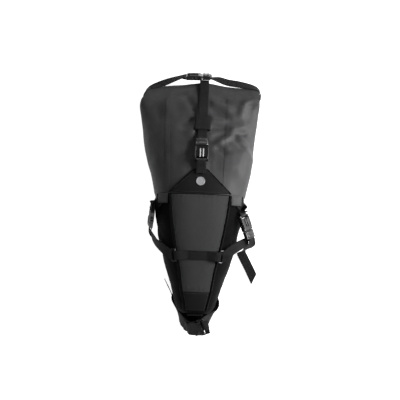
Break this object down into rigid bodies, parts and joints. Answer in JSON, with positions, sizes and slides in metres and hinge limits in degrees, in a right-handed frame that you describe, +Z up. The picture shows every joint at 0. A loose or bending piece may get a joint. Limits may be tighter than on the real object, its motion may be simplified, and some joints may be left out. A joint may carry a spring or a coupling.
{
  "type": "saddle bag",
  "caption": "Large roll-top bicycle saddle bag of grey and black fabric with a stiff tapered nose, webbing straps, rings and side-release buckles, lying on its underside.",
  "frame": {"origin": "centre of the front face of the rubber seat-post pad on the nose", "axes": "+Y back along the bag from the nose to the rolled mouth, +Z up through the panel that faces the saddle, +X to the side of the long free strap tail"},
  "size_m": [0.2626, 0.5735, 0.1556],
  "materials": {
    "body_fabric": "woven, matte",
    "nose_fabric": "laminated, slight sheen",
    "panel_fabric": "woven, matte",
    "patch_fabric": "coated, matte",
    "grip_patch": "matte",
    "reflective_film": "satin",
    "webbing": "ribbed",
    "buckle_plastic": "semi-gloss",
    "ring_steel": "dark plated",
    "rubber": "matte",
    "stiffener_sheet": "plain"
  },
  "bodies": {
    "bag": {"anchor_patch_left": "grip_patch", "anchor_patch_right": "grip_patch", "base_stiffener": "stiffener_sheet", "closure_anchor_webbing": "webbing", "closure_buckle_socket": "buckle_plastic", "closure_strap": "webbing", "cross_strap": "webbing", "emblem": "reflective_film", "lower_patch": "patch_fabric", "main_body": "body_fabric", "mouth_stiffener": "stiffener_sheet", "nose_shell": "nose_fabric", "piping_left": "nose_fabric", "piping_right": "nose_fabric", "rail_anchor_webbing_left": "webbing", "rail_anchor_webbing_right": "webbing", "rail_left_buckle_socket": "buckle_plastic", "rail_right_buckle_socket": "buckle_plastic", "rail_strap_left": "webbing", "rail_strap_right": "webbing", "roll_buckle_socket": "buckle_plastic", "roll_tab_left": "webbing", "roll_tab_right": "webbing", "rolled_mouth": "body_fabric", "seatpost_pad": "rubber", "seatpost_ring_tab": "webbing", "seatpost_strap": "webbing", "top_panel": "panel_fabric", "triangle_patch": "patch_fabric", "underside_panel": "patch_fabric"},
    "closure_plug": {"closure_buckle_plug": "buckle_plastic"},
    "closure_prong_left": {"closure_buckle_prong_left": "buckle_plastic"},
    "closure_prong_right": {"closure_buckle_prong_right": "buckle_plastic"},
    "rail_right_plug": {"rail_right_buckle_plug": "buckle_plastic"},
    "rail_right_prong_left": {"rail_right_buckle_prong_left": "buckle_plastic"},
    "rail_right_prong_right": {"rail_right_buckle_prong_right": "buckle_plastic"},
    "rail_left_plug": {"rail_left_buckle_plug": "buckle_plastic"},
    "rail_left_prong_left": {"rail_left_buckle_prong_left": "buckle_plastic"},
    "rail_left_prong_right": {"rail_left_buckle_prong_right": "buckle_plastic"},
    "roll_plug": {"roll_buckle_plug": "buckle_plastic"},
    "roll_prong_left": {"roll_buckle_prong_left": "buckle_plastic"},
    "roll_prong_right": {"roll_buckle_prong_right": "buckle_plastic"},
    "rail_ring_left": {"rail_ring_left": "ring_steel"},
    "rail_ring_right": {"rail_ring_right": "ring_steel"},
    "seatpost_ring": {"seatpost_ring": "ring_steel"},
    "strap_keeper": {"strap_keeper": "webbing"}
  },
  "joints": [
    {"name": "closure_plug_slide", "type": "slide", "parent": "bag", "child": "closure_plug", "axis": [0, 0.9115, -0.4114], "range_m": [0, 0.024], "deforming": ["closure_strap", "closure_buckle_prong_left", "closure_buckle_prong_right"]},
    {"name": "closure_prong_left_squeeze", "type": "hinge", "parent": "closure_plug", "child": "closure_prong_left", "pos_m": [-0.0084, 0.35872, 0.07481], "axis": [0, 0.4114, 0.9115], "range_deg": [0, 7], "stiffness_Nm_per_rad": 0.05},
    {"name": "closure_prong_right_squeeze", "type": "hinge", "parent": "closure_plug", "child": "closure_prong_right", "pos_m": [0.0084, 0.35872, 0.07481], "axis": [0, -0.4114, -0.9115], "range_deg": [0, 7], "stiffness_Nm_per_rad": 0.05},
    {"name": "rail_right_plug_slide", "type": "slide", "parent": "bag", "child": "rail_right_plug", "axis": [0.3592, -0.9279, -0.0998], "range_m": [0, 0.024], "deforming": ["rail_strap_right", "rail_right_buckle_prong_left", "rail_right_buckle_prong_right"]},
    {"name": "rail_right_prong_left_squeeze", "type": "hinge", "parent": "rail_right_plug", "child": "rail_right_prong_left", "pos_m": [0.10866, 0.18851, 0.05147], "axis": [0.7506, 0.2237, 0.6218], "range_deg": [0, 7], "stiffness_Nm_per_rad": 0.05},
    {"name": "rail_right_prong_right_squeeze", "type": "hinge", "parent": "rail_right_plug", "child": "rail_right_prong_right", "pos_m": [0.09934, 0.18349, 0.06452], "axis": [-0.7506, -0.2237, -0.6218], "range_deg": [0, 7], "stiffness_Nm_per_rad": 0.05},
    {"name": "rail_left_plug_slide", "type": "slide", "parent": "bag", "child": "rail_left_plug", "axis": [-0.08, -0.6202, -0.7803], "range_m": [0, 0.024], "deforming": ["rail_strap_left", "rail_left_buckle_prong_left", "rail_left_buckle_prong_right"]},
    {"name": "rail_left_prong_left_squeeze", "type": "hinge", "parent": "rail_left_plug", "child": "rail_left_prong_left", "pos_m": [-0.1013, 0.19842, 0.03721], "axis": [-0.9965, 0.0315, 0.0772], "range_deg": [0, 7], "stiffness_Nm_per_rad": 0.05},
    {"name": "rail_left_prong_right_squeeze", "type": "hinge", "parent": "rail_left_plug", "child": "rail_left_prong_right", "pos_m": [-0.1017, 0.21158, 0.02679], "axis": [0.9965, -0.0315, -0.0772], "range_deg": [0, 7], "stiffness_Nm_per_rad": 0.05},
    {"name": "roll_plug_slide", "type": "slide", "parent": "bag", "child": "roll_plug", "axis": [0.9996, 0.03, 0], "range_m": [0, 0.024], "deforming": ["roll_tab_right", "roll_buckle_prong_left", "roll_buckle_prong_right"]},
    {"name": "roll_prong_left_squeeze", "type": "hinge", "parent": "roll_plug", "child": "roll_prong_left", "pos_m": [-0.00609, 0.52211, -0.0158], "axis": [-0.0279, 0.9287, 0.3698], "range_deg": [0, 7], "stiffness_Nm_per_rad": 0.05},
    {"name": "roll_prong_right_squeeze", "type": "hinge", "parent": "roll_plug", "child": "roll_prong_right", "pos_m": [-0.00591, 0.51589, -0.0002], "axis": [0.0279, -0.9287, -0.3698], "range_deg": [0, 7], "stiffness_Nm_per_rad": 0.05},
    {"name": "rail_ring_left_swing", "type": "hinge", "parent": "bag", "child": "rail_ring_left", "pos_m": [-0.04626, 0.12682, 0.08013], "axis": [-0.118, 0.9656, 0.2317], "range_deg": [0, 60], "deforming": ["rail_strap_left"]},
    {"name": "rail_ring_right_swing", "type": "hinge", "parent": "bag", "child": "rail_ring_right", "pos_m": [0.04626, 0.12682, 0.08013], "axis": [-0.118, -0.9656, -0.2317], "range_deg": [0, 60], "deforming": ["rail_strap_right"]},
    {"name": "seatpost_ring_swing", "type": "hinge", "parent": "bag", "child": "seatpost_ring", "pos_m": [0.01201, -0.02641, 0.001], "axis": [0.2524, -0.5743, -0.7787], "range_deg": [-12, 40], "deforming": ["seatpost_ring_tab"]},
    {"name": "strap_keeper_slide", "type": "slide", "parent": "closure_plug", "child": "strap_keeper", "axis": [0, 0.8723, -0.4889], "range_m": [-0.008, 0.01]}
  ],
  "couplings": [
    {"joint": "closure_prong_right_squeeze", "follows": "closure_prong_left_squeeze", "ratio": 1},
    {"joint": "rail_right_prong_right_squeeze", "follows": "rail_right_prong_left_squeeze", "ratio": 1},
    {"joint": "rail_left_prong_right_squeeze", "follows": "rail_left_prong_left_squeeze", "ratio": 1},
    {"joint": "roll_prong_right_squeeze", "follows": "roll_prong_left_squeeze", "ratio": 1}
  ]
}
